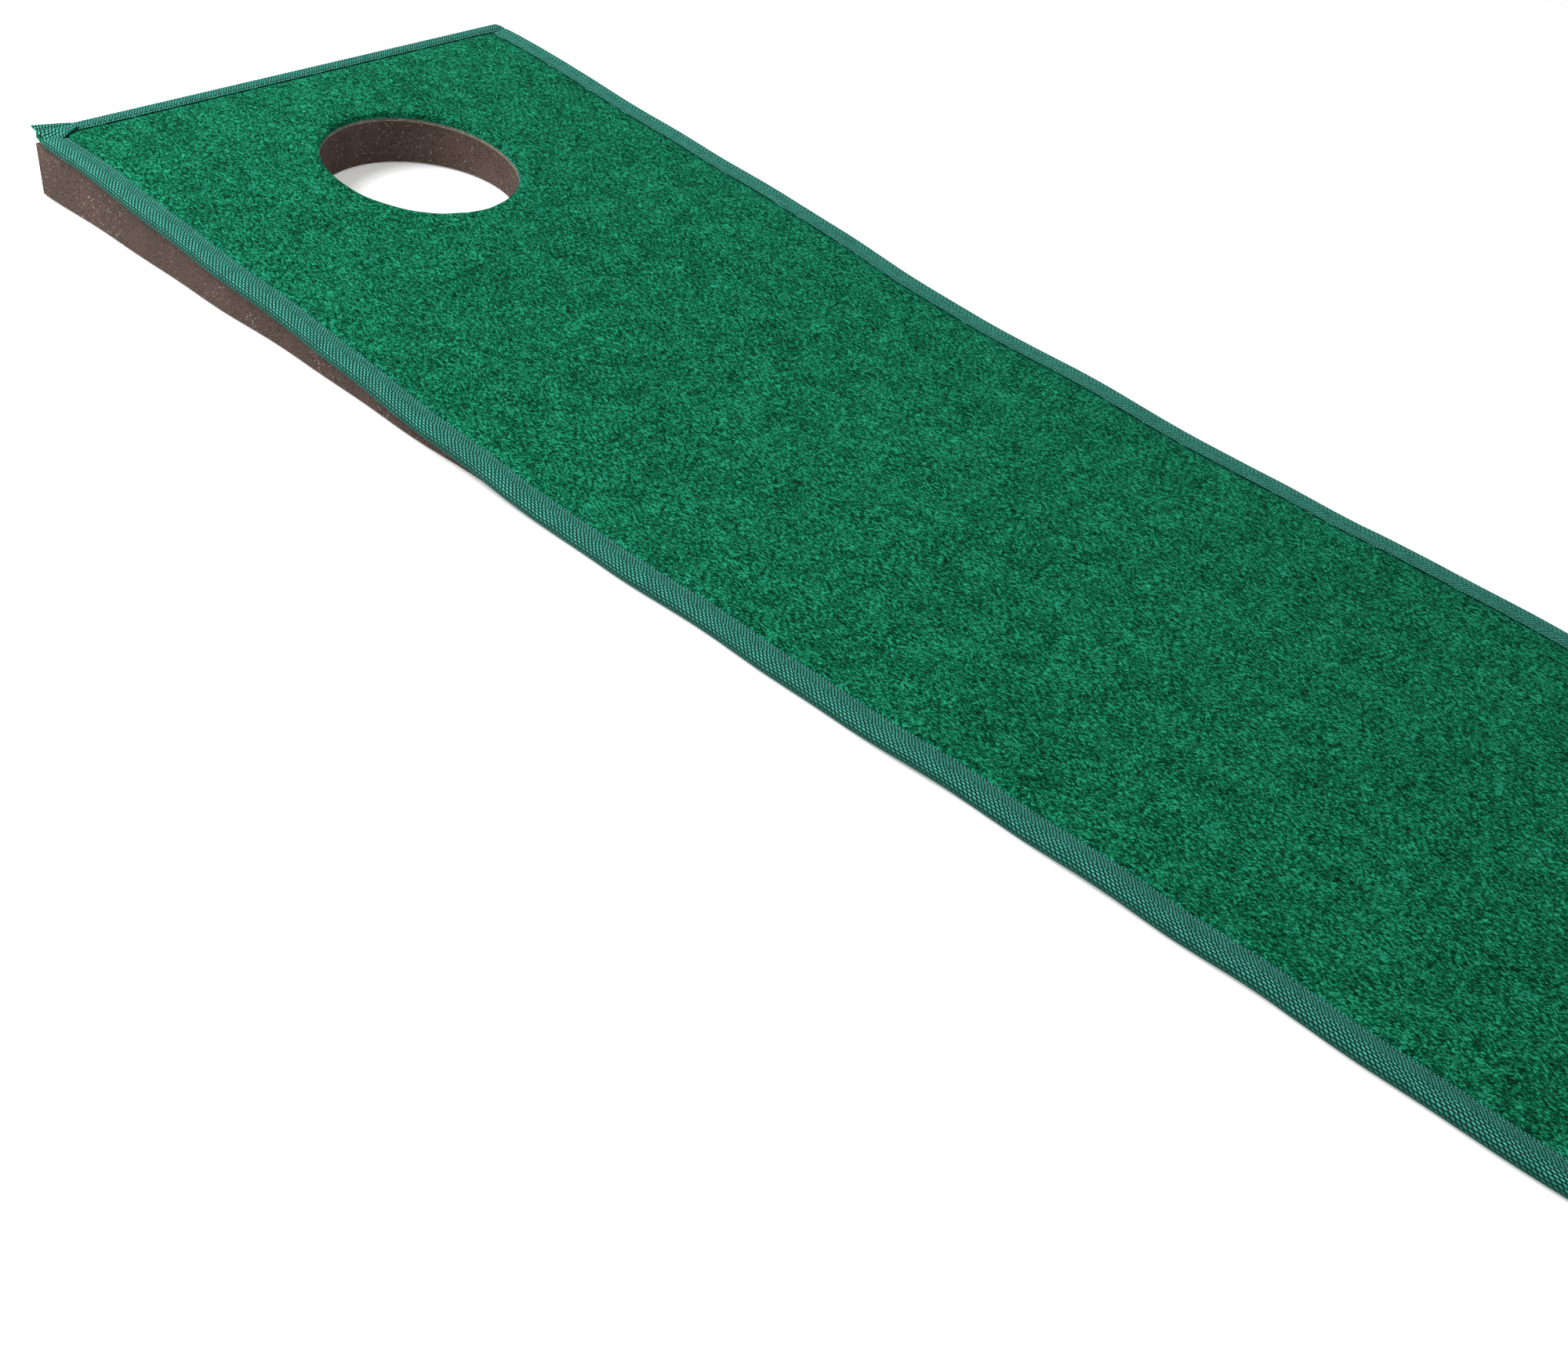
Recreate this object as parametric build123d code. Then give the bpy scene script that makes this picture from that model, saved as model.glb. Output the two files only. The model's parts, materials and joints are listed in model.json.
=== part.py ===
from build123d import *
import math
import os

# All sizes in millimetres. X runs across the mat, Y along it towards the hole end, Z up.
# The origin is on the floor, under the middle of the mat.

# Mat
mat_length = 2438.0
mat_width = 330.0
felt_thickness = 3.6
backing_thickness = 1.4

# Hole, full size, on the centre line
hole_diameter = 108.0
hole_from_end = 118.0

# Ramp under the hole end: flat crest, arc, straight slope, arc, floor
ramp_height = 27.0
crest_length = 38.0
ramp_length = 410.0
crest_radius = 355.0
foot_radius = 650.0

# Foam wedge, and the film of glue that holds the mat to it
foam_side_inset = 4.0
foam_end_inset = 4.0
heel_undercut = 5.0
foam_toe_height = 1.0
glue_thickness = 0.3

# Woven binding tape, folded over each edge of the mat
tape_thickness = 0.8
side_tape_width = 14.0
end_tape_width = 10.0

# Seams: an upper and a lower thread, both let into the tape
thread_width = 0.7
thread_depth = 0.3
seam_from_tape_edge = 2.0
seam_end_gap = 1.0

# Worked out from the sizes above
mat_thickness = felt_thickness + backing_thickness
half_length = mat_length / 2
half_width = mat_width / 2
tuck_length = end_tape_width + tape_thickness
end_floors = {"hole_end": ramp_height, "front_end": 0.0}
sides = {"left": -1, "right": 1}


def find_slope():
    """Angle of the straight slope that joins the crest arc to the foot arc."""
    radii = crest_radius + foot_radius
    run = ramp_length - crest_length
    rise = ramp_height - radii
    return math.acos(-radii / math.hypot(rise, run)) - math.atan2(run, rise)


slope = find_slope()
toe_angle = math.acos((foot_radius - foam_toe_height) / (foot_radius + glue_thickness))


def place(x, along, z):
    """Point given by its distance along the mat from the hole end."""
    return Vector(x, half_length - along, z)


def crest_point(x, lift, angle):
    """Point on the arc that starts the slope, lifted off the mat's underside."""
    reach = crest_radius + lift
    drop = crest_radius - reach * math.cos(angle)
    return place(x, crest_length + reach * math.sin(angle), ramp_height - drop)


def foot_point(x, lift, angle):
    """Point on the arc that ends the slope, lifted off the mat's underside."""
    reach = foot_radius - lift
    along = ramp_length - reach * math.sin(angle)
    return place(x, along, foot_radius - reach * math.cos(angle))


def ramp_line(x, lift, start, last_angle):
    """Line of the ramp from the crest down to an angle on the foot arc."""
    arc_top = crest_point(x, lift, 0)
    slope_top = crest_point(x, lift, slope)
    slope_bottom = foot_point(x, lift, slope)
    arc_bottom = foot_point(x, lift, last_angle)
    foot_middle = foot_point(x, lift, (slope + last_angle) / 2)
    return [
        Edge.make_line(place(x, start, ramp_height + lift), arc_top),
        Edge.make_three_point_arc(arc_top, crest_point(x, lift, slope / 2), slope_top),
        Edge.make_line(slope_top, slope_bottom),
        Edge.make_three_point_arc(slope_bottom, foot_middle, arc_bottom),
    ]


def between(x_low, x_high, edges):
    """Solid with a closed side outline, between two places across the mat."""
    return extrude(Face(Wire(edges)), amount=x_high - x_low, dir=(1, 0, 0))


def layer(x_low, x_high, low_lift, high_lift, start, end):
    """Layer that follows the mat's underside from the crest to a place on the floor."""
    edges = []
    for lift in (low_lift, high_lift):
        edges += ramp_line(x_low, lift, start, 0)
        edges.append(Edge.make_line(foot_point(x_low, lift, 0), place(x_low, end, lift)))
    for along, floor in ((start, ramp_height), (end, 0)):
        low = place(x_low, along, floor + low_lift)
        edges.append(Edge.make_line(low, place(x_low, along, floor + high_lift)))
    return between(x_low, x_high, edges)


def block(x_low, x_high, start, end, z_low, z_high):
    """Plain block between two distances along the mat."""
    corner = place(x_low, end, z_low)
    corner_aligned = (Align.MIN, Align.MIN, Align.MIN)
    box = Box(x_high - x_low, end - start, z_high - z_low, align=corner_aligned)
    return Pos(corner.X, corner.Y, corner.Z) * box


def side_span(side, near, far):
    """Low and high X of a strip, given by its two distances in from one side."""
    edge = side * half_width
    return sorted((edge - side * near, edge - side * far))


def end_span(end_name, near, far):
    """Two distances along the mat of a strip, given by its distances in from one end."""
    if end_name == "hole_end":
        return near, far
    return mat_length - far, mat_length - near


def hole_cutter():
    """Upright cylinder that cuts the hole through every layer under it."""
    centre = place(0, hole_from_end, 0)
    tall = 3 * (ramp_height + mat_thickness)
    return Pos(centre.X, centre.Y, 0) * Cylinder(hole_diameter / 2, tall)


def end_tape(end_name):
    """Tape folded over one end of the mat, outside the side tapes at both corners."""
    floor = end_floors[end_name]
    span = end_span(end_name, 0, end_tape_width)
    tape = block(-half_width, half_width, *span, floor, floor + mat_thickness)
    inner_span = end_span(end_name, tape_thickness, end_tape_width)
    inner = half_width - tape_thickness
    inner_low = floor + tape_thickness
    inner_high = floor + mat_thickness - tape_thickness
    return tape - block(-inner, inner, *inner_span, inner_low, inner_high)


def side_tape(side):
    """Tape folded over one long edge, stepped in under the end tapes at both corners."""
    full = side_span(side, 0, side_tape_width)
    inner = side_span(side, tape_thickness, side_tape_width)
    inner_high = mat_thickness - tape_thickness
    tape = layer(*full, 0, mat_thickness, tape_thickness, mat_length - tape_thickness)
    core = layer(*inner, tape_thickness, inner_high, 0, mat_length)
    outer_wall = side_span(side, 0, tape_thickness)
    tucked_wall = side_span(side, tape_thickness, 2 * tape_thickness)
    for end_name, floor in end_floors.items():
        top = floor + mat_thickness
        covered = end_span(end_name, 0, end_tape_width)
        tape -= block(*full, *covered, floor, floor + tape_thickness)
        tape -= block(*full, *covered, top - tape_thickness, top)
        tape -= block(*outer_wall, *covered, floor, top)
        tucked = end_span(end_name, 0, tuck_length)
        core -= block(*inner, *tucked, floor, floor + 2 * tape_thickness)
        core -= block(*inner, *tucked, top - 2 * tape_thickness, top)
        core -= block(*tucked_wall, *tucked, floor, top)
    return tape - core


def thread_strip(tape_width):
    """Distances in from the mat's edge to the two sides of a seam's thread."""
    middle = tape_width - seam_from_tape_edge
    return middle - thread_width / 2, middle + thread_width / 2


def thread_lift(upper):
    """Height of a thread's lower face over the mat's underside."""
    return mat_thickness - thread_depth if upper else 0


def side_thread(side, upper):
    """One thread of a side seam, between the two end tapes."""
    span = side_span(side, *thread_strip(side_tape_width))
    lift = thread_lift(upper)
    start = tuck_length + seam_end_gap
    return layer(*span, lift, lift + thread_depth, start, mat_length - start)


def end_thread(end_name, upper):
    """One thread of an end seam, from corner to corner."""
    span = end_span(end_name, *thread_strip(end_tape_width))
    low = end_floors[end_name] + thread_lift(upper)
    x_end = half_width - tape_thickness - seam_end_gap
    return block(-x_end, x_end, *span, low, low + thread_depth)


def foam_wedge():
    """Foam wedge with a flat bottom, a sloping heel and a toe cut off where it gets thin."""
    x_low = foam_side_inset - half_width
    lift = -glue_thickness
    heel_top = place(x_low, foam_end_inset, ramp_height + lift)
    heel = place(x_low, foam_end_inset + heel_undercut, 0)
    toe_top = foot_point(x_low, lift, toe_angle)
    toe = Vector(x_low, toe_top.Y, 0)
    edges = ramp_line(x_low, lift, foam_end_inset, toe_angle)
    edges.append(Edge.make_line(toe_top, toe))
    edges.append(Edge.make_line(toe, heel))
    edges.append(Edge.make_line(heel, heel_top))
    return between(x_low, -x_low, edges) - hole_cutter()


def wedge_glue():
    """Film of glue over the whole top of the foam wedge."""
    x_low = foam_side_inset - half_width
    lower = ramp_line(x_low, -glue_thickness, foam_end_inset, toe_angle)
    upper = ramp_line(x_low, 0, foam_end_inset, toe_angle)
    ends = [
        Edge.make_line(lower[0] @ 0, upper[0] @ 0),
        Edge.make_line(lower[-1] @ 1, upper[-1] @ 1),
    ]
    return between(x_low, -x_low, lower + upper + ends) - hole_cutter()


def core_layer(low_lift, high_lift, tapes):
    """Felt or backing: one layer of the mat, less the tapes folded round it and the hole."""
    inner = half_width - tape_thickness
    ends = (tape_thickness, mat_length - tape_thickness)
    core = layer(-inner, inner, low_lift, high_lift, *ends)
    for tape in tapes:
        core -= tape
    return core - hole_cutter()


def build_nodes():
    """Every piece of the mat by name."""
    tapes = {}
    threads = {}
    for name, side in sides.items():
        tapes[name] = side_tape(side)
        threads[name] = (side_thread(side, True), side_thread(side, False))
    for name in end_floors:
        tapes[name] = end_tape(name)
        threads[name] = (end_thread(name, True), end_thread(name, False))
    nodes = {
        "felt_surface": core_layer(backing_thickness, mat_thickness, tapes.values()),
        "backing_layer": core_layer(0, backing_thickness, tapes.values()),
        "wedge_glue_film": wedge_glue(),
        "foam_wedge": foam_wedge(),
    }
    for name, tape in tapes.items():
        upper, lower = threads[name]
        nodes[f"binding_tape_{name}"] = tape - upper - lower
        nodes[f"needle_thread_{name}"] = upper
        nodes[f"bobbin_thread_{name}"] = lower
    return nodes


os.makedirs("parts", exist_ok=True)
for node, shape in build_nodes().items():
    export_step(shape, f"parts/{node}.step")
    print(node, len(shape.solids()), round(shape.volume))
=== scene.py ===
import json
import math

import bpy
import numpy as np
from mathutils import Matrix, Vector


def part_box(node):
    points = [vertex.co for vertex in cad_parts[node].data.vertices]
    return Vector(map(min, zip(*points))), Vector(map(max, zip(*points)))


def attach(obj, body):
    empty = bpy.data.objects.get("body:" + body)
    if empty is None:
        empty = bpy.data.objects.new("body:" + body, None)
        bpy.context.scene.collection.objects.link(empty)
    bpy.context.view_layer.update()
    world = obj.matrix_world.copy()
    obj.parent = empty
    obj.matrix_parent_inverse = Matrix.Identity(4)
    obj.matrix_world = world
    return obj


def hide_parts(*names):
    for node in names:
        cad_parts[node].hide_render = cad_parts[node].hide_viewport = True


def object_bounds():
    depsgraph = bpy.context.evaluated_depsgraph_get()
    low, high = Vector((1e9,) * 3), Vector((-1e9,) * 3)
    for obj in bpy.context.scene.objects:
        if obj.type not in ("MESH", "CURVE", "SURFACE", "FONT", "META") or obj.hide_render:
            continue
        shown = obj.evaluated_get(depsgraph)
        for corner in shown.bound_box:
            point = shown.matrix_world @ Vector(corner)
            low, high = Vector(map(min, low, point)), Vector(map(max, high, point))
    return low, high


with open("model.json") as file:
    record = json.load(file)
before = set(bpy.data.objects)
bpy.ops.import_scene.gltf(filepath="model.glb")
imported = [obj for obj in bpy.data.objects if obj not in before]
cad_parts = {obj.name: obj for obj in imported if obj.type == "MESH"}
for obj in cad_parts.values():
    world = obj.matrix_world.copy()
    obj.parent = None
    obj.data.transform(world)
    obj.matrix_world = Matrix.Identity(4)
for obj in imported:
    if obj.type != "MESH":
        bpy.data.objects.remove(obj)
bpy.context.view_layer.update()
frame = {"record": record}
lowCorner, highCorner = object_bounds()
mounts = {m["name"]: m for m in frame["record"]["mounts"]}
foamLow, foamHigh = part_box("foam_wedge")
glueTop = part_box("wedge_glue_film")[1].z

# sizes in metres, along is the distance from the hole end
mat = {
    "halfWidth": highCorner.x,
    "halfLength": highCorner.y,
    "length": highCorner.y - lowCorner.y,
    "high": highCorner.z - glueTop,
    "backing": 0.0014,
}
ramp = {
    "height": glueTop,
    "crest": 0.038,
    "length": 0.410,
    "crestRadius": 0.355,
    "footRadius": 0.650,
}
hole = {
    "along": highCorner.y - mounts["cup_hole"]["pos_m"][1],
    "radius": mounts["cup_hole"]["dims"]["r_mm"] / 1000,
    "patch": 0.088,  # half the square of mesh that closes in on the rim
}
tape = {
    "thick": 0.0008,
    "side": 0.014,
    "end": 0.010,
    "seam": 0.002,  # seam line, in from the tape's edge
    "stitch": 0.0032,
    "topStops": [0, 0.0005, 0.0013, 0.002, 0.0027],  # section points, in from the tape's edge
    "lowStops": [0.0014, 0.0],
    "turnIn": 0.0036,  # flat up to here, round outside it
    "closed": 0.00012,  # how far the cut edge is pressed shut
    "seamWide": 0.0006,
    "seamDip": 0.00012,
    "needleDip": 0.00022,
}

# how the rolled out mat strays from its ideal shape, each wave is (size, length, start)
lie = {
    "sway": [(0.0006, 0.61, 0.4), (0.0004, 0.23, 2.0)],
    "edge": 0.0005,
    "edgeSway": [(1, 0.137, 1.1), (0.7, 0.071, 0.2)],
    "ripple": [(1, 0.31, 0.9), (0.7, 0.19, 2.2), (0.5, 0.083, 0.3)],
    "leftRipple": 0.0007,
    "rightRipple": 0.0009,
    "rippleFrom": 0.45,  # share of the half width
    "offFoam": (0.35, 0.48),  # ripples start here, and fade out before the front end
    "frontFade": 0.06,
    "bridge": 0.0035,  # right side raised halfway down the ramp, foam and all
    "bridgeRise": (0.12, 0.27),
    "bridgeFall": (0.36, 0.56),
    "cornerPull": 0.0032,  # left corner at the hole end, drawn in
    "pullLong": 0.07,
    "cornerPinch": 0.0022,  # and more, close to the end
    "pinchLong": 0.012,
    "cornerFrom": 0.82,
}

radii = ramp["crestRadius"] + ramp["footRadius"]
run = ramp["length"] - ramp["crest"]
fall = ramp["height"] - radii
slope = math.acos(-radii / math.hypot(fall, run)) - math.atan2(run, fall)


def heightAt(along, lift):  # the ramp's crest, slope and foot, then the flat mat
    along, lift = np.broadcast_arrays(np.asarray(along, float), np.asarray(lift, float))
    upper, lower = ramp["crestRadius"] + lift, ramp["footRadius"] - lift
    crestEnd = ramp["crest"] + upper * math.sin(slope)
    footStart = ramp["length"] - lower * math.sin(slope)
    crestZ = ramp["height"] - ramp["crestRadius"]
    onCrest = crestZ + np.sqrt(np.maximum(upper**2 - (along - ramp["crest"]) ** 2, 0))
    onSlope = crestZ + upper * math.cos(slope) - (along - crestEnd) * math.tan(slope)
    onFoot = ramp["footRadius"] - np.sqrt(np.maximum(lower**2 - (ramp["length"] - along) ** 2, 0))
    return np.select(
        [along <= ramp["crest"], along <= crestEnd, along <= footStart, along <= ramp["length"]],
        [ramp["height"] + lift, onCrest, onSlope, onFoot],
        lift,
    )


def ease(low, high, value):  # smooth 0 to 1
    t = np.clip((np.asarray(value, float) - low) / (high - low), 0, 1)
    return t * t * (3 - 2 * t)


def wave(t, *terms):  # sum of sines, each (size, length, start)
    return sum(size * np.sin(2 * np.pi * t / length + start) for size, length, start in terms)


def relax(x, along):  # shift sideways and up
    edge = np.abs(x) / mat["halfWidth"]
    sideways = wave(along, *lie["sway"])
    sideways = sideways + lie["edge"] * edge * np.sign(x) * wave(along, *lie["edgeSway"])
    offFoam = ease(*lie["offFoam"], along) * ease(0, lie["frontFade"], mat["length"] - along)
    ripple = wave(along, *lie["ripple"])
    left = np.clip(ripple, 0, None) * ease(lie["rippleFrom"], 1, -x / mat["halfWidth"])
    right = np.clip(-ripple, 0, None) * ease(lie["rippleFrom"], 1, x / mat["halfWidth"])
    up = offFoam * (lie["leftRipple"] * left + lie["rightRipple"] * right)
    bridge = ease(*lie["bridgeRise"], along) * (1 - ease(*lie["bridgeFall"], along))
    up = up + lie["bridge"] * bridge * ease(-0.03, mat["halfWidth"], x)
    return sideways, up


def matPoints(x, along, lift, loose=True):  # loose: all but the foam and the glue, with a corner drawn in
    x, along, lift = np.broadcast_arrays(x, along, lift)
    sideways, up = relax(x, along)
    if loose:
        pull = lie["cornerPull"] * (1 - ease(0, lie["pullLong"], along))
        pull = pull + lie["cornerPinch"] * (1 - ease(0, lie["pinchLong"], along))
        sideways = sideways + pull * ease(lie["cornerFrom"], 1, -x / mat["halfWidth"])
    z = heightAt(along, lift) + up
    return np.stack([x + sideways, mat["halfLength"] - along, z], axis=-1)


def newPiece(name, points, faces, nodes, sharp):
    mesh = bpy.data.meshes.new(name)
    mesh.from_pydata(np.asarray(points).reshape(-1, 3).tolist(), [], [list(map(int, f)) for f in faces])
    mesh.validate()
    mesh.shade_smooth()
    mesh.set_sharp_from_angle(angle=math.radians(sharp))
    piece = bpy.data.objects.new(name, mesh)
    bpy.context.scene.collection.objects.link(piece)
    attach(piece, "root")
    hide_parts(*nodes)
    return piece


def steps(stops, cell):  # the stops, with even places about a cell apart between them
    places = [stops[0]]
    for a, b in zip(stops, stops[1:]):
        count = max(1, round(abs(b - a) / cell))
        places += [a + (b - a) * i / count for i in range(1, count + 1)]
    return np.array(places)


def acrossStops(insets, half):  # from distances in from both sides
    left = [inset - half for inset in insets]
    return left + [-hole["patch"], hole["patch"]] + [-x for x in reversed(left)]


def alongStops(insets):  # from distances in from both ends
    patch = [hole["along"] - hole["patch"], hole["along"] + hole["patch"]]
    return insets + patch + [mat["length"] - inset for inset in reversed(insets)]


def planWithHole(xs, alongs, rings):  # quads seen from above, and their x and along
    ys = alongs[::-1]
    centre = hole["along"]
    near = hole["patch"] + 1e-7
    inX = [i for i, x in enumerate(xs) if abs(x) < near]
    inY = [j for j, y in enumerate(ys) if abs(y - centre) < near]
    i0, i1, j0, j1 = inX[0], inX[-1], inY[0], inY[-1]
    index, plan, quads = {}, [], []
    for j, y in enumerate(ys):
        for i, x in enumerate(xs):
            if not (i0 < i < i1 and j0 < j < j1):
                index[i, j] = len(plan)
                plan.append((x, y))
    for j in range(len(ys) - 1):
        for i in range(len(xs) - 1):
            if not (i0 <= i < i1 and j0 <= j < j1):
                quads.append((index[i, j], index[i + 1, j], index[i + 1, j + 1], index[i, j + 1]))
    loop = [index[i, j0] for i in range(i0, i1)] + [index[i1, j] for j in range(j0, j1)]
    loop += [index[i, j1] for i in range(i1, i0, -1)] + [index[i0, j] for j in range(j1, j0, -1)]
    corners = [plan[k] for k in loop]
    outer = loop
    for share in rings:
        inner = []
        for x, y in corners:
            reach = math.hypot(x, y - centre)
            rimX, rimY = x / reach * hole["radius"], (y - centre) / reach * hole["radius"]
            inner.append(len(plan))
            plan.append((rimX + (x - rimX) * share, centre + rimY + (y - centre - rimY) * share))
        for k in range(len(loop)):
            n = (k + 1) % len(loop)
            quads.append((outer[k], outer[n], inner[n], inner[k]))
        outer = inner
    return *np.array(plan).T, np.array(quads)


def insideTape(planX, planAlong):  # distance in from the side tapes and from the end tapes
    sideIn = mat["halfWidth"] - np.abs(planX)
    endIn = np.minimum(planAlong, mat["length"] - planAlong)
    return sideIn - tape["side"], endIn - tape["end"]


def fromRim(planX, planAlong):
    return np.hypot(planX, planAlong - hole["along"]) - hole["radius"]


def slab(name, top, bottom, quads, nodes, rows=1, sharp=40):  # two faces and the walls between them
    count = len(top)
    points, faces = [*top, *bottom], [tuple(q) for q in quads]
    faces += [tuple(count + k for k in reversed(q)) for q in quads]
    edges = {(q[k], q[(k + 1) % 4]) for q in quads.tolist() for k in range(4)}
    border = [(a, b) for a, b in edges if (b, a) not in edges]
    columns = {}
    for a in sorted({k for e in border for k in e}):
        columns[a] = [a]
        for r in range(1, rows):
            columns[a].append(len(points))
            points.append(top[a] + (bottom[a] - top[a]) * r / rows)
        columns[a].append(count + a)
    for a, b in sorted(border):
        for r in range(rows):
            faces.append((columns[a][r + 1], columns[b][r + 1], columns[b][r], columns[a][r]))
    return newPiece(name, points, faces, nodes, sharp)


def ringQuads(count, size):  # round a tube of count rings
    quads = []
    for s in range(count - 1):
        a, b = s * size, (s + 1) * size
        quads += [(a + k, a + (k + 1) % size, b + (k + 1) % size, b + k) for k in range(size)]
    return quads


def endQuads(count, size):  # the two ends of a strip whose ring runs out and back
    quads = []
    last = (count - 1) * size
    for k in range(size // 2 - 1):
        quads.append((k, size - 1 - k, size - 2 - k, k + 1))
        quads.append((last + k, last + k + 1, last + size - 2 - k, last + size - 1 - k))
    return quads


def turnedOver(faces):  # facing the other way, from the same first corner
    return [(f[0], *f[:0:-1]) for f in faces]


def addNode(tree, kind, inputs=(), **settings):
    node = tree.nodes.new("ShaderNode" + kind)
    for name, value in settings.items():
        setattr(node, name, value)
    for name, value in dict(inputs).items():
        socket = node.inputs[name]
        if isinstance(value, bpy.types.NodeSocket):
            tree.links.new(value, socket)
        else:
            socket.default_value = value
    return node


def maths(tree, operation, *values):
    return addNode(tree, "Math", dict(enumerate(values)), operation=operation).outputs[0]


def vectorMaths(tree, operation, a, b):
    return addNode(tree, "VectorMath", {0: a, 1: b}, operation=operation).outputs[0]


def noise(tree, vector, scale, detail=2.0, roughness=0.5):
    inputs = {"Vector": vector, "Scale": scale, "Detail": detail, "Roughness": roughness}
    return addNode(tree, "TexNoise", inputs).outputs


def mixColour(tree, factor, a, b):
    return addNode(tree, "Mix", {"Factor": factor, 6: a, 7: b}, data_type="RGBA").outputs[2]


def mixValue(tree, factor, a, b):
    return addNode(tree, "Mix", {"Factor": factor, 2: a, 3: b}).outputs[0]


def mapRange(tree, value, low, high, toLow=0.0, toHigh=1.0, smooth=True):
    inputs = {"Value": value, "From Min": low, "From Max": high, "To Min": toLow, "To Max": toHigh}
    kind = "SMOOTHSTEP" if smooth else "LINEAR"
    return addNode(tree, "MapRange", inputs, interpolation_type=kind).outputs[0]


def bump(tree, height, distance, strength=1.0):
    inputs = {"Height": height, "Distance": distance, "Strength": strength}
    return addNode(tree, "Bump", inputs).outputs[0]


def newGroup(name, ins, outs):
    tree = bpy.data.node_groups.new(name, "ShaderNodeTree")
    for label, kind, default in ins:
        socket = tree.interface.new_socket(label, in_out="INPUT", socket_type="NodeSocket" + kind)
        if default is not None:
            socket.default_value = default
    for label in outs:
        tree.interface.new_socket(label, in_out="OUTPUT", socket_type="NodeSocketFloat")
    given = tree.nodes.new("NodeGroupInput").outputs
    return tree, given, tree.nodes.new("NodeGroupOutput").inputs


def useGroup(tree, group, **inputs):
    return addNode(tree, "Group", inputs, node_tree=group).outputs


def newMaterial(name, roughness=0.8, specular=0.5):
    material = bpy.data.materials.new(name)
    material.use_nodes = True
    tree = material.node_tree
    shader = tree.nodes["Principled BSDF"].inputs
    shader["Roughness"].default_value = roughness
    shader["Specular IOR Level"].default_value = specular
    return material, tree, shader


def objectPlace(tree):
    return addNode(tree, "TexCoord").outputs["Object"]


def fibreStrokes():  # short fibres that lie mostly along Y, and a mask of the creases between them, where shade is painted
    ins = [("Vector", "Vector", None), ("Across", "Float", 900.0), ("Along", "Float", 300.0)]
    tree, given, out = newGroup("fibreStrokes", ins + [("Turn", "Float", 0.0)], ["Value", "Crease"])
    turn = {"Vector": given["Vector"], "Angle": given["Turn"]}
    turned = addNode(tree, "VectorRotate", turn, rotation_type="Z_AXIS").outputs[0]
    stretch = {"X": given["Across"], "Y": given["Along"], "Z": given["Across"]}
    scaled = vectorMaths(tree, "MULTIPLY", turned, addNode(tree, "CombineXYZ", stretch).outputs[0])
    stroke = noise(tree, scaled, 1.0, 2.0, 0.6)["Fac"]
    away = maths(tree, "ABSOLUTE", maths(tree, "SUBTRACT", stroke, 0.5))
    tree.links.new(stroke, out["Value"])
    tree.links.new(mapRange(tree, away, 0.036, 0.0), out["Crease"])
    return tree


def wovenFloats():  # floats in rows, staggered from row to row, and a mask of the gaps between them, where shade is painted
    ins = [("Along", "Float", 0.0), ("Across", "Float", 0.0), ("Pitch", "Float", 0.0013)]
    ins += [("Row", "Float", 0.0008), ("Stagger", "Float", 0.34)]
    tree, given, out = newGroup("wovenFloats", ins, ["Height", "Gap"])
    row = maths(tree, "DIVIDE", given["Across"], given["Row"])
    rowShift = maths(tree, "MULTIPLY", maths(tree, "FLOOR", row), given["Stagger"])
    column = maths(tree, "ADD", maths(tree, "DIVIDE", given["Along"], given["Pitch"]), rowShift)
    u = maths(tree, "SUBTRACT", maths(tree, "FRACT", column), 0.5)
    v = maths(tree, "SUBTRACT", maths(tree, "FRACT", row), 0.5)
    slant = maths(tree, "MULTIPLY_ADD", v, -0.55, u)
    lengthways = maths(tree, "ABSOLUTE", maths(tree, "MULTIPLY", slant, 2.0))
    crossways = maths(tree, "ABSOLUTE", maths(tree, "MULTIPLY", v, 2.0))
    reach = maths(tree, "ADD", maths(tree, "POWER", lengthways, 2.5), maths(tree, "POWER", crossways, 2.0))
    tree.links.new(mapRange(tree, reach, 1.05, 0.0), out["Height"])
    tree.links.new(mapRange(tree, reach, 0.42, 0.85), out["Gap"])
    return tree


def grainSpecks():  # fine grains with bright and dark specks
    ins = [("Vector", "Vector", None), ("Scale", "Float", 1400.0)]
    tree, given, out = newGroup("grainSpecks", ins, ["Value", "Bright", "Dark"])
    soft = noise(tree, given["Vector"], given["Scale"], 3.0, 0.7)["Fac"]
    cellScale = maths(tree, "MULTIPLY", given["Scale"], 0.55)
    cells = addNode(tree, "TexVoronoi", {"Vector": given["Vector"], "Scale": cellScale}).outputs
    pick = addNode(tree, "SeparateColor", {"Color": cells["Color"]}).outputs
    brightSpot = mapRange(tree, cells["Distance"], 0.45, 0.15)
    darkSpot = mapRange(tree, cells["Distance"], 0.5, 0.2)
    tree.links.new(soft, out["Value"])
    tree.links.new(maths(tree, "MULTIPLY", mapRange(tree, pick[0], 0.86, 0.97), brightSpot), out["Bright"])
    tree.links.new(maths(tree, "MULTIPLY", mapRange(tree, pick[1], 0.8, 0.95), darkSpot), out["Dark"])
    return tree


fibres = fibreStrokes()
weave = wovenFloats()
grain = grainSpecks()

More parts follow.
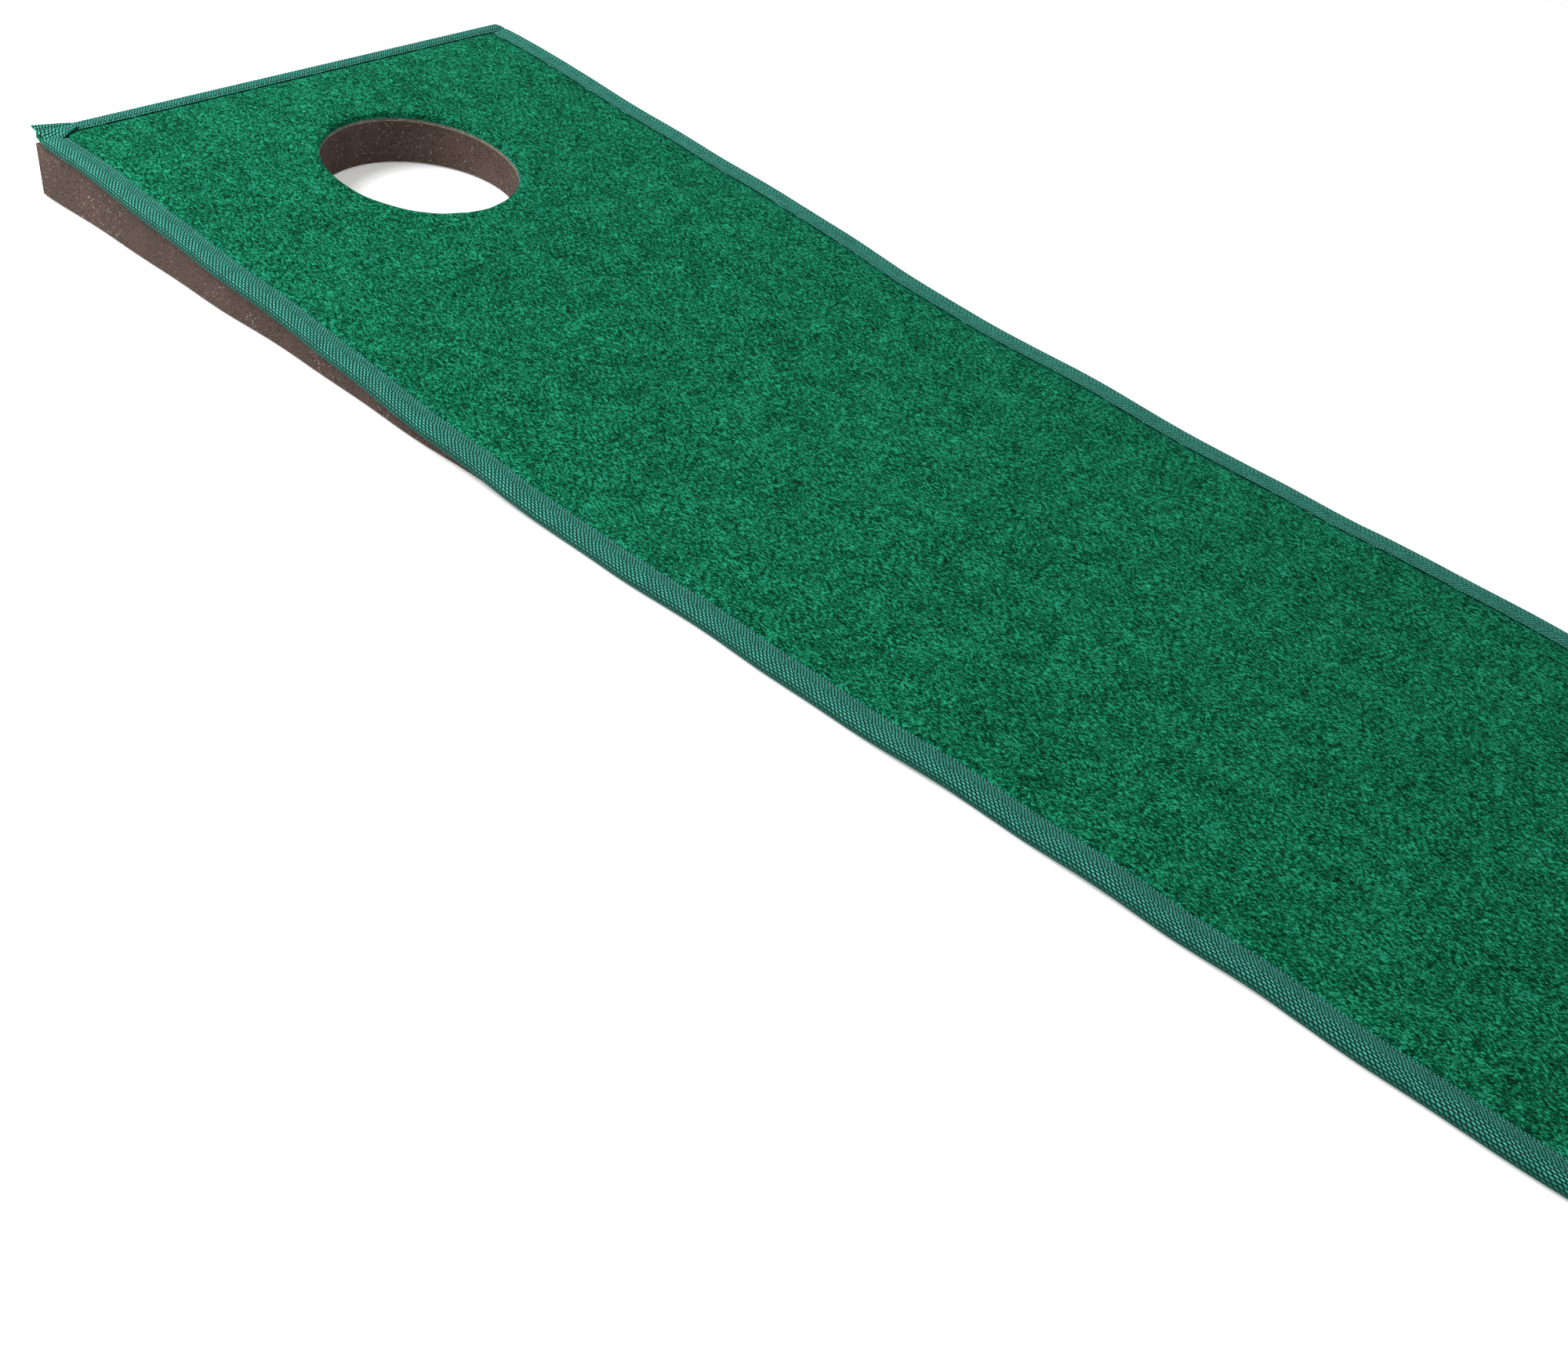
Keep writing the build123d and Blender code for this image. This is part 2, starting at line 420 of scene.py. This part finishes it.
felt = {
    "cell": 0.0046,
    "edgeStops": [0.0009, 0.0024, 0.0055],  # in from the mat's edge
    "sideStops": [0.0095],
    "sideFromTape": [-0.0006, 0.0003, 0.0016, 0.0035, 0.008],
    "endFromTape": [-0.0004, 0.0004, 0.0018, 0.004, 0.008],
    "rings": [0.86, 0.7, 0.54, 0.4, 0.28, 0.18, 0.1, 0.045, 0.015, 0.0],
    "pressed": 0.0009,  # how far the tape holds the felt down
    "loft": 0.0010,
    "rimDrop": 0.0007,
    "lengthways": [(0.00012, 0.031, 0.2), (0.0001, 0.047, 1.4)],
    "crossways": [(0.0001, 0.027, 0.7), (0.00008, 0.013, 2.1)],
    "tones": [
        (0.425, (0.0, 0.02, 0.008, 1)),
        (0.5, (0.002, 0.112, 0.05, 1)),
        (0.585, (0.024, 0.38, 0.21, 1)),
    ],
    # painted shade, laid into the creases between fibres
    "crease": (0.004, 0.015, 0.009, 1),
    "wander": 0.006,
}


def feltGreen():
    material, tree, shader = newMaterial("feltGreen", roughness=0.95, specular=0.04)
    place = objectPlace(tree)
    bend = vectorMaths(tree, "SUBTRACT", noise(tree, place, 55.0, 1.0)["Color"], (0.5, 0.5, 0.5))
    wander = addNode(tree, "VectorMath", {0: bend, "Scale": felt["wander"]}, operation="SCALE").outputs[0]
    bent = vectorMaths(tree, "ADD", place, wander)
    lengthways = useGroup(tree, fibres, Vector=bent, Across=1200.0, Along=340.0, Turn=0.3)["Value"]
    crossways = useGroup(tree, fibres, Vector=bent, Across=1350.0, Along=460.0, Turn=-0.6)["Value"]
    fine = useGroup(tree, fibres, Vector=place, Across=2200.0, Along=850.0, Turn=0.1)["Value"]
    crease = useGroup(tree, fibres, Vector=bent, Across=480.0, Along=190.0, Turn=-0.25)["Crease"]
    weighted = maths(tree, "MULTIPLY", lengthways, 0.36)
    strokes = maths(tree, "ADD", weighted, maths(tree, "MULTIPLY", crossways, 0.32))
    strokes = maths(tree, "MULTIPLY_ADD", fine, 0.32, strokes)
    cloud = noise(tree, place, 75.0, 3.0, 0.6)["Fac"]
    tone = maths(tree, "ADD", strokes, mapRange(tree, cloud, 0.3, 0.7, -0.02, 0.02, False))
    toneRamp = addNode(tree, "ValToRGB", {"Fac": tone})
    stops = toneRamp.color_ramp
    stops.interpolation = "EASE"
    stops.elements.new(0.5)
    for stop, (level, colour) in zip(stops.elements, felt["tones"]):
        stop.position = level
        stop.color = colour
    # painted shade in the creases between fibres, deeper in some patches than others
    depth = mapRange(tree, noise(tree, place, 210.0)["Fac"], 0.4, 0.58, 0.0, 0.85)
    shade = maths(tree, "MULTIPLY", crease, depth)
    colour = mixColour(tree, shade, toneRamp.outputs["Color"], felt["crease"])
    tree.links.new(colour, shader["Base Color"])
    tree.links.new(bump(tree, strokes, 0.0016, 0.8), shader["Normal"])
    return material


def layFelt():
    sideInsets = felt["edgeStops"] + felt["sideStops"] + [tape["side"] + d for d in felt["sideFromTape"]]
    endInsets = felt["edgeStops"] + [tape["end"] + d for d in felt["endFromTape"]]
    xs = steps(acrossStops(sideInsets, mat["halfWidth"]), felt["cell"])
    planX, planAlong, quads = planWithHole(xs, steps(alongStops(endInsets), felt["cell"]), felt["rings"])
    sideIn, endIn = insideTape(planX, planAlong)
    inside = ease(-0.0004, 0.0038, sideIn) * ease(-0.0002, 0.004, endIn)
    lift = mat["high"] - felt["pressed"] + felt["loft"] * inside
    lift += inside * wave(planAlong + 0.3 * planX, *felt["lengthways"])
    lift += inside * wave(planX - 0.2 * planAlong, *felt["crossways"])
    lift -= felt["rimDrop"] * (1 - ease(0, 0.0022, fromRim(planX, planAlong)))
    top = matPoints(planX, planAlong, lift)
    bottom = matPoints(planX, planAlong, mat["backing"])
    piece = slab("felt", top, bottom, quads, ["felt_surface"], rows=2, sharp=50)
    piece.data.materials.append(feltGreen())
    print("felt", len(piece.data.polygons))


backing = {
    "cell": 0.009,
    "edge": 0.0010,
    "sideFromTape": [-0.0004, 0.0006, 0.008],
    "endFromTape": [-0.0003, 0.0007],
    "rings": [0.7, 0.4, 0.2, 0.06, 0.0],
    "dots": 620.0,
    "colour": (0.30, 0.33, 0.27, 1),
    "dark": (0.12, 0.15, 0.12, 1),
    "worn": (0.09, 0.1, 0.075, 1),
}


def backingGrip():
    material, tree, shader = newMaterial("backingGrip", roughness=0.75, specular=0.35)
    place = objectPlace(tree)
    dots = addNode(tree, "TexVoronoi", {"Vector": place, "Scale": backing["dots"], "Randomness": 0.35})
    knob = mapRange(tree, dots.outputs["Distance"], 0.5, 0.12)
    shade = noise(tree, place, 300.0, 4.0)["Fac"]
    colour = mixColour(tree, knob, backing["dark"], backing["colour"])
    colour = mixColour(tree, mapRange(tree, shade, 0.4, 0.6), colour, backing["worn"])
    tree.links.new(colour, shader["Base Color"])
    tree.links.new(bump(tree, knob, 0.0003), shader["Normal"])
    return material


def layBacking():
    sideInsets = [backing["edge"]] + [tape["side"] + d for d in backing["sideFromTape"]]
    endInsets = [backing["edge"]] + [tape["end"] + d for d in backing["endFromTape"]]
    xs = steps(acrossStops(sideInsets, mat["halfWidth"]), backing["cell"])
    alongs = steps(alongStops(endInsets), backing["cell"])
    planX, planAlong, quads = planWithHole(xs, alongs, backing["rings"])
    sideIn, endIn = insideTape(planX, planAlong)
    onTape = 1 - ease(-0.0002, 0.0004, sideIn) * ease(-0.0001, 0.0005, endIn)
    top = matPoints(planX, planAlong, mat["backing"])
    bottom = matPoints(planX, planAlong, tape["thick"] * onTape)
    piece = slab("backing", top, bottom, quads, ["backing_layer"], sharp=50)
    piece.data.materials.append(backingGrip())
    print("backing", len(piece.data.polygons))


foam = {
    "cell": 0.0035,
    "sideStops": [0.0, 0.0008, 0.003],  # in from the foam's own sides
    "heelStop": 0.0008,
    "toeStop": 0.001,
    "rings": [0.7, 0.4, 0.2, 0.06, 0.0],
    "gap": 0.0003,  # glue between the foam and the mat
    "undercut": 0.005,  # how far the heel slopes in at the floor
    "soften": 0.0006,
    "body": (0.122, 0.083, 0.068, 1),
    "dark": (0.028, 0.02, 0.017, 1),
    "warm": (0.12, 0.075, 0.06, 1),
    "speck": (0.5, 0.43, 0.38, 1),
    "pore": (0.02, 0.015, 0.013, 1),
}
glue = {
    "inset": 0.0006,
    "cornerInset": 0.005,
    "edge": [(0.0006, 0.043, 0.1), (0.0005, 0.019, 0.8)],
    "colour": (0.42, 0.36, 0.24, 1),
    "dark": (0.2, 0.17, 0.12, 1),
}


def foamBrown():
    material, tree, shader = newMaterial("foamBrown", roughness=0.95, specular=0.15)
    place = objectPlace(tree)
    specks = useGroup(tree, grain, Vector=place, Scale=1600.0)
    pores = useGroup(tree, grain, Vector=place, Scale=2000.0)
    warm = noise(tree, place, 60.0, 3.0)["Fac"]
    colour = mixColour(tree, mapRange(tree, specks["Value"], 0.4, 0.58), foam["dark"], foam["body"])
    colour = mixColour(tree, mapRange(tree, warm, 0.4, 0.7, 0.0, 0.35), colour, foam["warm"])
    colour = mixColour(tree, maths(tree, "MULTIPLY", specks["Bright"], 0.85), colour, foam["speck"])
    colour = mixColour(tree, maths(tree, "MULTIPLY", pores["Dark"], 0.7), colour, foam["pore"])
    tree.links.new(colour, shader["Base Color"])
    grains = maths(tree, "SUBTRACT", specks["Value"], pores["Dark"])
    tree.links.new(bump(tree, grains, 0.0006, 0.8), shader["Normal"])
    return material


def glueDried():
    material, tree, shader = newMaterial("glueDried", roughness=0.45)
    streak = noise(tree, objectPlace(tree), 180.0, 4.0)["Fac"]
    colour = mixColour(tree, mapRange(tree, streak, 0.35, 0.65), glue["dark"], glue["colour"])
    tree.links.new(colour, shader["Base Color"])
    tree.links.new(bump(tree, streak, 0.0004), shader["Normal"])
    return material


def foamPlan():
    start, end = mat["halfLength"] - foamHigh.y, mat["halfLength"] - foamLow.y
    alongs = [start, start + foam["heelStop"], hole["along"] - hole["patch"], hole["along"] + hole["patch"]]
    alongs += [end - foam["toeStop"], end]
    xs = steps(acrossStops(foam["sideStops"], foamHigh.x), foam["cell"])
    return start, planWithHole(xs, steps(alongs, foam["cell"]), foam["rings"])


def layFoam(start, planX, planAlong, quads):
    heel = planAlong - start
    edge = np.minimum(np.minimum(foamHigh.x - np.abs(planX), heel), fromRim(planX, planAlong))
    top = matPoints(planX, planAlong, -foam["gap"], loose=False)
    bottom = top.copy()
    bottom[:, 2] = foam["soften"] * (1 - ease(0, 0.0007, edge))
    bottom[:, 2] = np.minimum(bottom[:, 2], top[:, 2] - 0.0002)
    bottom[:, 1] -= foam["undercut"] * (1 - ease(0, 0.03, heel))
    piece = slab("foam", top, bottom, quads, ["foam_wedge"], rows=8, sharp=35)
    piece.data.materials.append(foamBrown())
    print("foam", len(piece.data.polygons))


def layGlue(planX, planAlong, quads):
    inset = glue["inset"] + glue["cornerInset"] * (1 - ease(0, lie["pullLong"], planAlong))
    inset = inset + np.abs(wave(planAlong, *glue["edge"]))
    glueX = np.clip(planX, -foamHigh.x + inset, foamHigh.x - inset)
    top = matPoints(glueX, planAlong, 0.0, loose=False)
    bottom = matPoints(glueX, planAlong, -foam["gap"], loose=False)
    piece = slab("glue", top, bottom, quads, ["wedge_glue_film"])
    piece.data.materials.append(glueDried())
    print("glue", len(piece.data.polygons))


layFelt()
layBacking()
foamStart, foamMesh = foamPlan()
layFoam(foamStart, *foamMesh)
layGlue(*foamMesh)

binding = {
    "bold": {"Pitch": 0.0024, "Row": 0.00135, "Stagger": 0.36},
    "small": {"Pitch": 0.0017, "Row": 0.001, "Stagger": 0.5},
    # dark and light: painted shade low in the weave and painted highlight on the tops of the floats
    "dark": (0.001, 0.07, 0.047, 1),
    "light": (0.085, 0.52, 0.4, 1),
    "tint": (0.01, 0.17, 0.11, 1),
    # painted shade in the gaps between the floats
    "gap": (0.0, 0.02, 0.013, 1),
    # painted shade from the roll round to the underside, where the tape turns down towards the floor
    "fold": (0.0, 0.04, 0.027, 1),
}
sideTape = {
    "start": {"left": 0.0085, "right": 0.0022},  # from the hole end
    "stop": 0.0022,
    "puff": 0.00042,
    "shoulder": 0.0005,  # how far it stands up beside the end tape
}
endTape = {
    "puff": 0.00025,
    "waves": [(0.00008, 0.061, 0.3), (0.00006, 0.023, 1.2)],
    "cap": 0.0042,  # length of each closed end
    "shortLeft": 0.007,  # the loose fold goes on from here
    "closing": [15, 30, 45, 60, 74, 86],
}
looseEnd = {
    "stations": 15,
    "points": 11,
    "start": 0.0262,  # in from the left side
    "long": 0.0222,
    "lean": 0.0010,
    "outerInset": 0.0022,  # outer edge, in from the hole end
    "innerInset": 0.0088,
    "flare": 0.0112,
    "outerLift": 0.0053,  # over the foam
    "outerRise": 0.0026,
    "innerLift": 0.0058,
    "innerRise": 0.0003,
    "hollow": 0.0012,
    "pleat": 0.0004,
    "droop": 0.0032,  # inner corner at the tip
    "thick": 0.0016,
    "thinning": 0.0006,
    "weaveLong": 0.021,
    "weaveWide": 0.011,
    "weaveFrom": 0.004,
}


def bindingWeave():
    material, tree, shader = newMaterial("bindingWeave", roughness=0.6, specular=0.1)
    strip = addNode(tree, "UVMap", uv_map="strip").outputs[0]
    along, across = addNode(tree, "SeparateXYZ", {"Vector": strip}).outputs[:2]
    sway = noise(tree, strip, 90.0, 2.0)["Fac"]
    across = maths(tree, "ADD", across, mapRange(tree, sway, 0.2, 0.8, -0.0005, 0.0005, False))
    bold = useGroup(tree, weave, Along=along, Across=across, **binding["bold"])
    small = useGroup(tree, weave, Along=along, Across=across, **binding["small"])
    inner = mapRange(tree, across, 0.0075, 0.006)
    height = mixValue(tree, inner, bold["Height"], small["Height"])
    gap = mixValue(tree, inner, bold["Gap"], small["Gap"])
    tint = noise(tree, strip, 220.0, 3.0)["Fac"]
    # painted shade from the outer roll round to the underside, where the tape turns down towards the floor
    fold = maths(tree, "MULTIPLY", mapRange(tree, across, 0.0115, 0.0155), 0.7)
    # painted highlight on the tops of the floats, painted shade low between them
    colour = mixColour(tree, maths(tree, "POWER", height, 1.3), binding["dark"], binding["light"])
    colour = mixColour(tree, mapRange(tree, tint, 0.35, 0.75, 0.0, 0.5), colour, binding["tint"])
    # painted shade in the gaps between the floats
    colour = mixColour(tree, gap, colour, binding["gap"])
    colour = mixColour(tree, fold, colour, binding["fold"])
    tree.links.new(colour, shader["Base Color"])
    tree.links.new(bump(tree, height, 0.00035), shader["Normal"])
    return material


bindingMaterial = bindingWeave()


def foldedSection(width, puff, needle, tuck):  # inset and lift of the outer and the inner face, per station
    puff, needle, tuck = (np.asarray(v, float)[:, None] for v in (puff, needle, tuck))
    half = mat["high"] / 2
    seamAt = width - tape["seam"]
    under = tape["thick"] * tuck  # steps in under the tape that folds over it
    topLeg = np.linspace(width - 0.0038, tape["turnIn"], 6)
    top = np.concatenate([width - np.array(tape["topStops"]), topLeg])
    turn = np.radians(np.linspace(90, -90, 9))
    lowLeg = np.linspace(tape["turnIn"], width - 0.0026, 5)
    low = np.concatenate([lowLeg, width - np.array(tape["lowStops"])])
    seam = np.exp(-(((top - seamAt) / tape["seamWide"]) ** 2))
    swell = np.sin(np.pi * np.clip((seamAt - top) / (seamAt - 0.0012), 0, 1))
    dip = seam * (tape["seamDip"] + tape["needleDip"] * needle)
    topLift = mat["high"] - 0.0001 + puff * swell - dip - under
    closed = np.array([tape["closed"]] + [0] * (len(top) - 1))
    roll = np.maximum(half + 0.3 * puff - under, 0)

    def face(depth, shut):
        insets = [top + 0 * puff, half - (roll - depth) * np.cos(turn), low + 0 * puff]
        roundLift = half + (half - under - depth) * np.sin(turn)
        lifts = [topLift + shut - depth, roundLift, under + depth + 0 * low]
        return np.concatenate(insets, axis=1), np.concatenate(lifts, axis=1)

    return face(0, -closed), face(tape["thick"] - 0.00005, closed)


def sweep(name, outer, inner, stations, flip, extra=None):  # outer and inner are stations x points x 3
    count, reach = outer.shape[:2]
    leg = np.linalg.norm(np.diff(outer[count // 2], axis=0), axis=1)
    across = np.concatenate([[0], np.cumsum(leg)])
    points = np.concatenate([outer, inner[:, ::-1]], axis=1).reshape(-1, 3)
    faces = ringQuads(count, 2 * reach) + endQuads(count, 2 * reach)
    if flip:
        faces = [f[::-1] for f in faces]
    strip = [(stations[s], v) for s in range(count) for v in [*across, *across[::-1]]]
    if extra:
        base = len(points)
        points = np.concatenate([points, extra[0]])
        faces += [tuple(base + k for k in f) for f in extra[1]]
        strip += extra[2]
    piece = newPiece(f"binding_{name}", points, faces, [f"binding_tape_{name}"], sharp=55)
    layer = piece.data.uv_layers.new(name="strip")
    corners = np.zeros(len(piece.data.loops), int)
    piece.data.loops.foreach_get("vertex_index", corners)
    layer.data.foreach_set("uv", np.array(strip)[corners].ravel())
    piece.data.materials.append(bindingMaterial)
    print(piece.name, len(piece.data.polygons))
    return piece


def needleHoles(stations):  # 1 where the needle went through, every other station
    return (np.arange(len(stations)) % 2 == 0).astype(float)


def sewSideTape(name, side):
    stations = np.arange(sideTape["start"][name], mat["length"] - sideTape["stop"], tape["stitch"] / 2)
    fromTape = np.minimum(stations, mat["length"] - stations) - tape["end"]
    waves = [(0.00014, 0.083, side), (0.0001, 0.041, 2 * side), (0.00008, 0.0171, 0.5)]
    puff = sideTape["puff"] + wave(stations, *waves)
    puff = puff + sideTape["shoulder"] * (ease(0, 0.003, fromTape) - ease(0.005, 0.026, fromTape))
    tuck = 1 - ease(-0.0002, 0.0014, fromTape)
    faces = foldedSection(tape["side"], puff * (1 - tuck), needleHoles(stations), tuck)
    place = [matPoints(side * (mat["halfWidth"] - inset), stations[:, None], lift) for inset, lift in faces]
    piece = sweep(name, *place, stations, side < 0)


def looseFold():  # free end of the hole end's tape, pinched and folded out over the left corner
    share = np.linspace(0, 1, looseEnd["stations"])[:, None]
    across = np.linspace(0, 1, looseEnd["points"])[None]
    x = -mat["halfWidth"] + looseEnd["start"] - looseEnd["long"] * share + looseEnd["lean"] * across * share
    outerInset = looseEnd["outerInset"] - looseEnd["outerInset"] * share**0.6
    innerInset = looseEnd["innerInset"] + looseEnd["flare"] * share
    inset = outerInset * (1 - across) + innerInset * across
    outerLift = looseEnd["outerLift"] + looseEnd["outerRise"] * share**1.1
    innerLift = looseEnd["innerLift"] + looseEnd["innerRise"] * share
    lift = outerLift * (1 - across) + innerLift * across
    lift = lift - looseEnd["hollow"] * np.sin(np.pi * across) ** 1.5 * share * (1.1 - 0.5 * share)
    lift = lift + looseEnd["pleat"] * np.sin(5 * np.pi * across + 0.6) * (1 - 0.6 * share)
    lift = lift - looseEnd["droop"] * across**3 * share**4
    thick = looseEnd["thick"] - looseEnd["thinning"] * share + 0 * across
    top = np.stack([x + 0 * inset, mat["halfLength"] - inset, ramp["height"] + lift], axis=-1)
    bottom = top - np.array([0, 0, 1]) * thick[..., None]
    ring = np.concatenate([top, bottom[:, ::-1]], axis=1)
    count, size = ring.shape[:2]
    faces = turnedOver(ringQuads(count, size) + endQuads(count, size))
    reach = np.concatenate([across[0], across[0][::-1]]) * looseEnd["weaveWide"] + looseEnd["weaveFrom"]
    strip = [(float(s), v) for s in share[:, 0] * looseEnd["weaveLong"] for v in reach]
    return ring.reshape(-1, 3), faces, strip


def sewEndTape(name, atHole):
    reach = mat["halfWidth"] - endTape["cap"]
    leftReach = reach - endTape["shortLeft"] if atHole else reach
    closing = endTape["cap"] * np.sin(np.radians(np.array(endTape["closing"])))
    flat = steps([-leftReach, reach], tape["stitch"] / 2)
    stations = np.concatenate([-leftReach - closing[::-1], flat, reach + closing])
    over = np.maximum(np.maximum(-stations - leftReach, stations - reach), 0)
    close = np.sqrt(np.maximum(1 - (over / endTape["cap"]) ** 2, 0.002))[:, None]
    puff = endTape["puff"] + wave(stations, *endTape["waves"])
    middle = mat["high"] / 2
    place = []
    for inset, lift in foldedSection(tape["end"], puff, needleHoles(stations), 0 * stations):
        lift = middle + (lift - middle) * close**0.6
        inset = inset + 0.0012 * (1 - close)
        along = inset if atHole else mat["length"] - inset
        place.append(matPoints(stations[:, None], along, lift))
    piece = sweep(name, *place, stations, not atHole, looseFold() if atHole else None)


sewSideTape("left", -1)
sewSideTape("right", 1)
sewEndTape("hole_end", True)
sewEndTape("front_end", False)

thread = {
    "radius": 0.0003,
    "sides": 6,
    "places": np.array([0.0, 0.14, 0.32, 0.5, 0.68, 0.86]),  # along one stitch
    "arch": np.array([-0.00045, 0.0, 0.00014, 0.00016, 0.00014, 0.0]),
    "endStart": 0.0028,  # end seams, in from the sides
    "endStop": 0.006,
    "upper": 0.0002,  # under the top of the mat
    "lower": 0.00012,  # over the floor
    "dark": (0.002, 0.07, 0.047, 1),
    "light": (0.04, 0.24, 0.18, 1),
}


def threadGreen():
    material, tree, shader = newMaterial("threadGreen", roughness=0.5)
    twist = {"Vector": objectPlace(tree), "Scale": 900.0, "Distortion": 1.5}
    ply = addNode(tree, "TexWave", twist, bands_direction="DIAGONAL").outputs["Fac"]
    tree.links.new(mixColour(tree, ply, thread["dark"], thread["light"]), shader["Base Color"])
    tree.links.new(bump(tree, ply, 0.0001), shader["Normal"])
    return material


def stitches(start, stop):  # places along a seam, and how far the thread stands up at each
    starts = np.arange(start, stop, tape["stitch"])
    places = (starts[:, None] + thread["places"] * tape["stitch"]).ravel()
    return places, np.tile(thread["arch"], len(starts))


def sewThread(name, path, node):
    sides = thread["sides"]
    tangent = np.gradient(path, axis=0)
    tangent /= np.linalg.norm(tangent, axis=1)[:, None]
    wide = np.cross(tangent, np.array([0, 0, 1.0]))
    wide /= np.linalg.norm(wide, axis=1)[:, None]
    high = np.cross(wide, tangent)
    turn = np.arange(sides) * 2 * np.pi / sides
    circle = np.cos(turn)[None, :, None] * wide[:, None] + np.sin(turn)[None, :, None] * high[:, None]
    points = (path[:, None] + thread["radius"] * circle).reshape(-1, 3)
    faces = turnedOver(ringQuads(len(path), sides))
    faces.append(tuple(range(sides)))
    faces.append(tuple(range(len(points) - 1, len(points) - 1 - sides, -1)))
    piece = newPiece(name, points, faces, [node], sharp=80)
    piece.data.materials.append(threadMaterial)


threadMaterial = threadGreen()
sideX = mat["halfWidth"] - tape["side"] + tape["seam"]
endInset = tape["end"] - tape["seam"]
sideRun, sideRise = stitches(tape["end"] + tape["stitch"], mat["length"] - tape["end"] - 2 * tape["stitch"])
endRun, endRise = stitches(thread["endStart"] - mat["halfWidth"], mat["halfWidth"] - thread["endStop"])
seams = {
    "left": (-sideX, sideRun, sideRise),
    "right": (sideX, sideRun, sideRise),
    "hole_end": (endRun, endInset, endRise),
    "front_end": (endRun, mat["length"] - endInset, endRise),
}
for name, (x, along, rise) in seams.items():
    for kind, lift in (("needle", mat["high"] - thread["upper"] + rise), ("bobbin", thread["lower"] - rise)):
        sewThread(f"{kind}_{name}", matPoints(x, along, lift), f"{kind}_thread_{name}")
print("seams", len(seams))

studio = {"world": 0.4, "floor": (0.95, 0.95, 0.95, 1), "floorGlow": 0.3}
lights = {
    "key": {"place": (-0.75, 1.85, 1.25), "target": (0, 1.0, 0), "size": 1.0, "power": 37},
    "fill": {"place": (1.6, 0.6, 2.4), "target": (0, 0.8, 0), "size": 2.0, "power": 3},
}
camera = {"place": (-0.7538, 0.2933, 0.5319), "turn": -56.03, "down": 36.54, "roll": 11.37, "lens": 49.31}


def layFloor():
    bpy.ops.mesh.primitive_plane_add(size=12, location=(0, 0, -0.0004))
    floor = bpy.context.object
    floor.name = "floor"
    material, tree, shader = newMaterial("floorPale", roughness=0.7, specular=0.2)
    shader["Base Color"].default_value = studio["floor"]
    shader["Emission Color"].default_value = (1, 1, 1, 1)
    shader["Emission Strength"].default_value = studio["floorGlow"]
    floor.data.materials.append(material)


def lightWorld():
    world = bpy.data.worlds.new("studio")
    bpy.context.scene.world = world
    world.use_nodes = True
    background = world.node_tree.nodes["Background"].inputs
    background["Color"].default_value = (1, 1, 1, 1)
    background["Strength"].default_value = studio["world"]


def areaLight(name, place, target, size, power):
    data = bpy.data.lights.new(name, "AREA")
    data.shape = "DISK"
    data.size = size
    data.energy = power
    light = bpy.data.objects.new(name, data)
    bpy.context.scene.collection.objects.link(light)
    light.location = place
    light.rotation_euler = (Vector(target) - Vector(place)).to_track_quat("-Z", "Y").to_euler()


def aimCamera():
    turn, down, roll = (math.radians(camera[k]) for k in ("turn", "down", "roll"))
    forward = Vector((-math.sin(turn) * math.cos(down), math.cos(turn) * math.cos(down), -math.sin(down)))
    right = forward.cross(Vector((0, 0, 1))).normalized()
    up = right.cross(forward)
    rolledRight = math.cos(roll) * right + math.sin(roll) * up
    rolledUp = -math.sin(roll) * right + math.cos(roll) * up
    data = bpy.data.cameras.new("view")
    data.lens = camera["lens"]
    data.sensor_width = 36
    data.clip_start = 0.02
    view = bpy.data.objects.new("view", data)
    bpy.context.scene.collection.objects.link(view)
    axes = Matrix((rolledRight, rolledUp, -forward)).transposed().to_4x4()
    view.matrix_world = Matrix.Translation(camera["place"]) @ axes
    bpy.context.scene.camera = view


layFloor()
lightWorld()
for name, light in lights.items():
    areaLight(name, **light)
aimCamera()
bpy.context.scene.view_settings.view_transform = "Standard"
print("floor, lights and camera")
